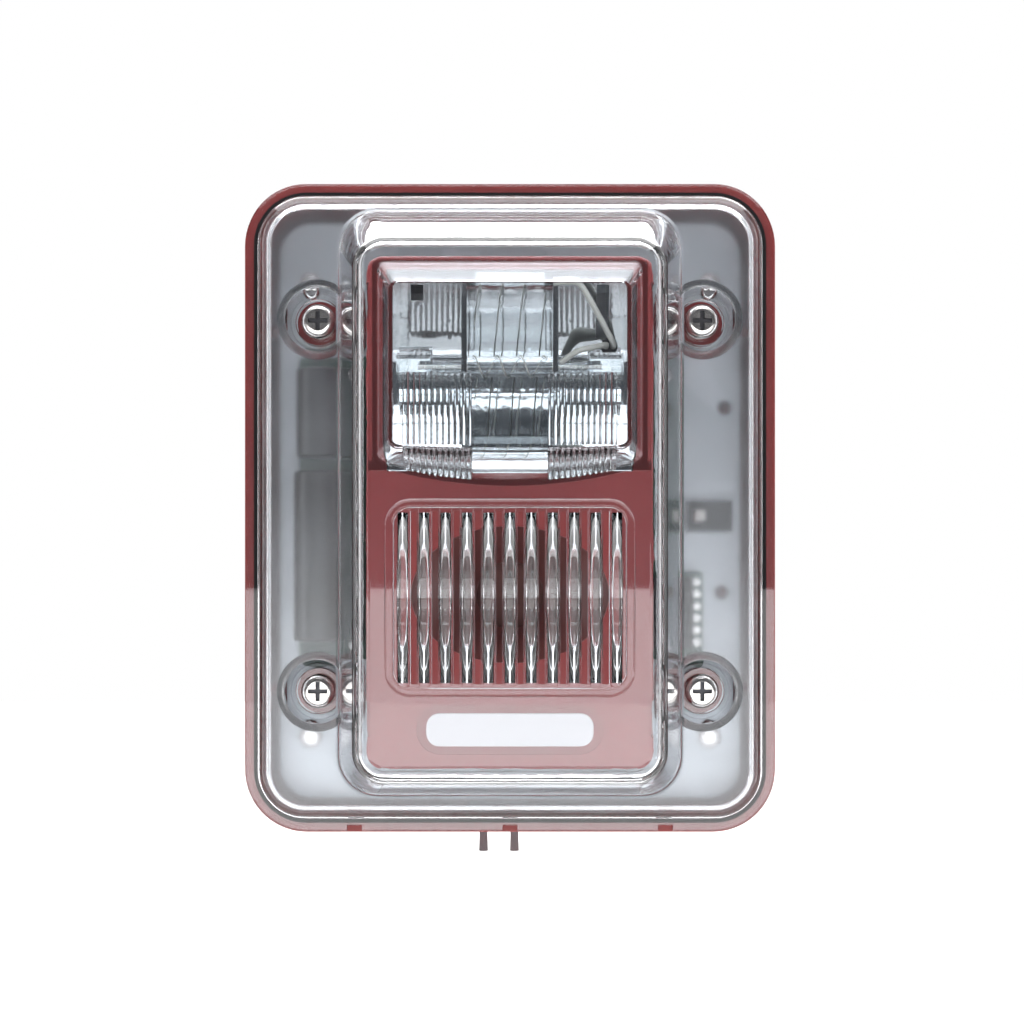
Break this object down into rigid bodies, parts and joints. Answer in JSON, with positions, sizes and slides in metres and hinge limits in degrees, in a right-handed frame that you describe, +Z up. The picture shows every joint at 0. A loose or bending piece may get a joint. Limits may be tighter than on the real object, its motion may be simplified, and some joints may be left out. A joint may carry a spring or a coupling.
{
  "type": "horn strobe",
  "caption": "Weatherproof wall horn strobe: red back box, clear screwed cover with a tapered dome and slotted grille, red faceplate, fluted lens, mirror reflector and flash tube.",
  "frame": {"origin": "centre of the flat wall face of the back box", "axes": "+Z up, +X to the viewer's right, the front faces -Y, +Y into the wall"},
  "size_m": [0.143, 0.076, 0.181],
  "materials": {
    "red_box": "satin moulded red plastic",
    "red_face": "fine-textured red plastic",
    "dark_seal": "dark silicone seal",
    "grey_rubber": "grey elastomer",
    "brass": "turned brass",
    "zinc_plate": "zinc-plated sheet steel",
    "steel_screw": "nickel-plated steel",
    "green_board": "green solder mask on glass epoxy",
    "black_sleeve": "black shrink sleeve",
    "ferrite": "sintered ferrite",
    "copper": "enamelled copper winding",
    "black_plastic": "black moulded plastic",
    "tinned_pin": "tinned contact metal",
    "white_label": "blank white plate",
    "black_horn": "black horn moulding",
    "mirror_plating": "vacuum-metallised mirror plating",
    "clear_lens": "clear fluted polycarbonate",
    "tube_glass": "clear glass of the flash tube and its end sleeves",
    "white_silicone": "white silicone",
    "nickel_wire": "bright nickel wire",
    "white_sleeve": "white sleeved lead",
    "black_rubber": "black rubber",
    "green_block": "green moulded plastic",
    "white_lever": "white moulded plastic",
    "red_dip": "red moulded plastic",
    "clear_cover": "clear polycarbonate with a frosted flange"
  },
  "bodies": {
    "unit": {"back_box": "red_box", "rim_gasket": "dark_seal", "weep_insert": "grey_rubber", "boss_inserts": "brass", "mounting_plate": "zinc_plate", "plate_screws": "steel_screw", "circuit_board": "green_board", "board_spacers": "steel_screw", "board_screws": "steel_screw", "main_capacitor": "black_sleeve", "aux_capacitor": "black_sleeve", "inverter_core": "ferrite", "inverter_winding": "copper", "trigger_coil": "black_plastic", "control_chip": "black_plastic", "board_connector": "black_plastic", "connector_pins": "tinned_pin", "faceplate": "red_face", "faceplate_screws": "steel_screw", "label_plate": "white_label", "horn_chamber": "black_horn", "piezo_disc": "brass", "disc_retainer": "black_plastic", "horn_leads": "white_sleeve", "reflector": "mirror_plating", "strobe_lens": "clear_lens", "flash_tube": "tube_glass", "tube_electrodes": "tinned_pin", "tube_end_caps": "tube_glass", "trigger_wire": "nickel_wire", "trigger_lead": "white_sleeve", "anode_lead": "white_sleeve", "lead_grommet": "black_rubber", "terminal_block": "green_block", "terminal_contacts": "brass", "selector_switch": "black_plastic", "dip_switch": "red_dip"},
    "cover": {"clear_cover": "clear_cover", "cover_screws": "steel_screw", "screw_seals": "dark_seal", "screw_retainers": "white_silicone"},
    "selector": {"selector_slider": "white_lever"},
    "tone": {"tone_lever": "white_lever"},
    "volume": {"volume_lever": "white_lever"},
    "terminal_screw_1": {"terminal_screw_1": "steel_screw"},
    "clamp_cage_1": {"clamp_cage_1": "zinc_plate"},
    "terminal_screw_2": {"terminal_screw_2": "steel_screw"},
    "clamp_cage_2": {"clamp_cage_2": "zinc_plate"},
    "terminal_screw_3": {"terminal_screw_3": "steel_screw"},
    "clamp_cage_3": {"clamp_cage_3": "zinc_plate"},
    "terminal_screw_4": {"terminal_screw_4": "steel_screw"},
    "clamp_cage_4": {"clamp_cage_4": "zinc_plate"}
  },
  "joints": [
    {"name": "cover_lift", "type": "slide", "parent": "unit", "child": "cover", "axis": [0, -1, 0], "range_m": [0, 0.06]},
    {"name": "candela_select", "type": "slide", "parent": "unit", "child": "selector", "axis": [1, 0, 0], "range_m": [0, 0.006]},
    {"name": "tone_select", "type": "slide", "parent": "unit", "child": "tone", "axis": [0, 0, 1], "range_m": [0, 0.0022]},
    {"name": "volume_select", "type": "slide", "parent": "unit", "child": "volume", "axis": [0, 0, 1], "range_m": [0, 0.0022]},
    {"name": "terminal_turn_1", "type": "hinge", "parent": "unit", "child": "terminal_screw_1", "pos_m": [-0.00953, -0.0179, -0.0306], "axis": [0, 1, 0], "range_deg": [0, 1080]},
    {"name": "clamp_rise_1", "type": "slide", "parent": "unit", "child": "clamp_cage_1", "axis": [0, 1, 0], "range_m": [0, 0.0015]},
    {"name": "terminal_turn_2", "type": "hinge", "parent": "unit", "child": "terminal_screw_2", "pos_m": [-0.00317, -0.0179, -0.0306], "axis": [0, 1, 0], "range_deg": [0, 1080]},
    {"name": "clamp_rise_2", "type": "slide", "parent": "unit", "child": "clamp_cage_2", "axis": [0, 1, 0], "range_m": [0, 0.0015]},
    {"name": "terminal_turn_3", "type": "hinge", "parent": "unit", "child": "terminal_screw_3", "pos_m": [0.00317, -0.0179, -0.0306], "axis": [0, 1, 0], "range_deg": [0, 1080]},
    {"name": "clamp_rise_3", "type": "slide", "parent": "unit", "child": "clamp_cage_3", "axis": [0, 1, 0], "range_m": [0, 0.0015]},
    {"name": "terminal_turn_4", "type": "hinge", "parent": "unit", "child": "terminal_screw_4", "pos_m": [0.00953, -0.0179, -0.0306], "axis": [0, 1, 0], "range_deg": [0, 1080]},
    {"name": "clamp_rise_4", "type": "slide", "parent": "unit", "child": "clamp_cage_4", "axis": [0, 1, 0], "range_m": [0, 0.0015]}
  ],
  "couplings": [
    {"joint": "terminal_turn_1", "follows": "clamp_rise_1", "rad_per_m": 12565},
    {"joint": "terminal_turn_2", "follows": "clamp_rise_2", "rad_per_m": 12565},
    {"joint": "terminal_turn_3", "follows": "clamp_rise_3", "rad_per_m": 12565},
    {"joint": "terminal_turn_4", "follows": "clamp_rise_4", "rad_per_m": 12565}
  ]
}
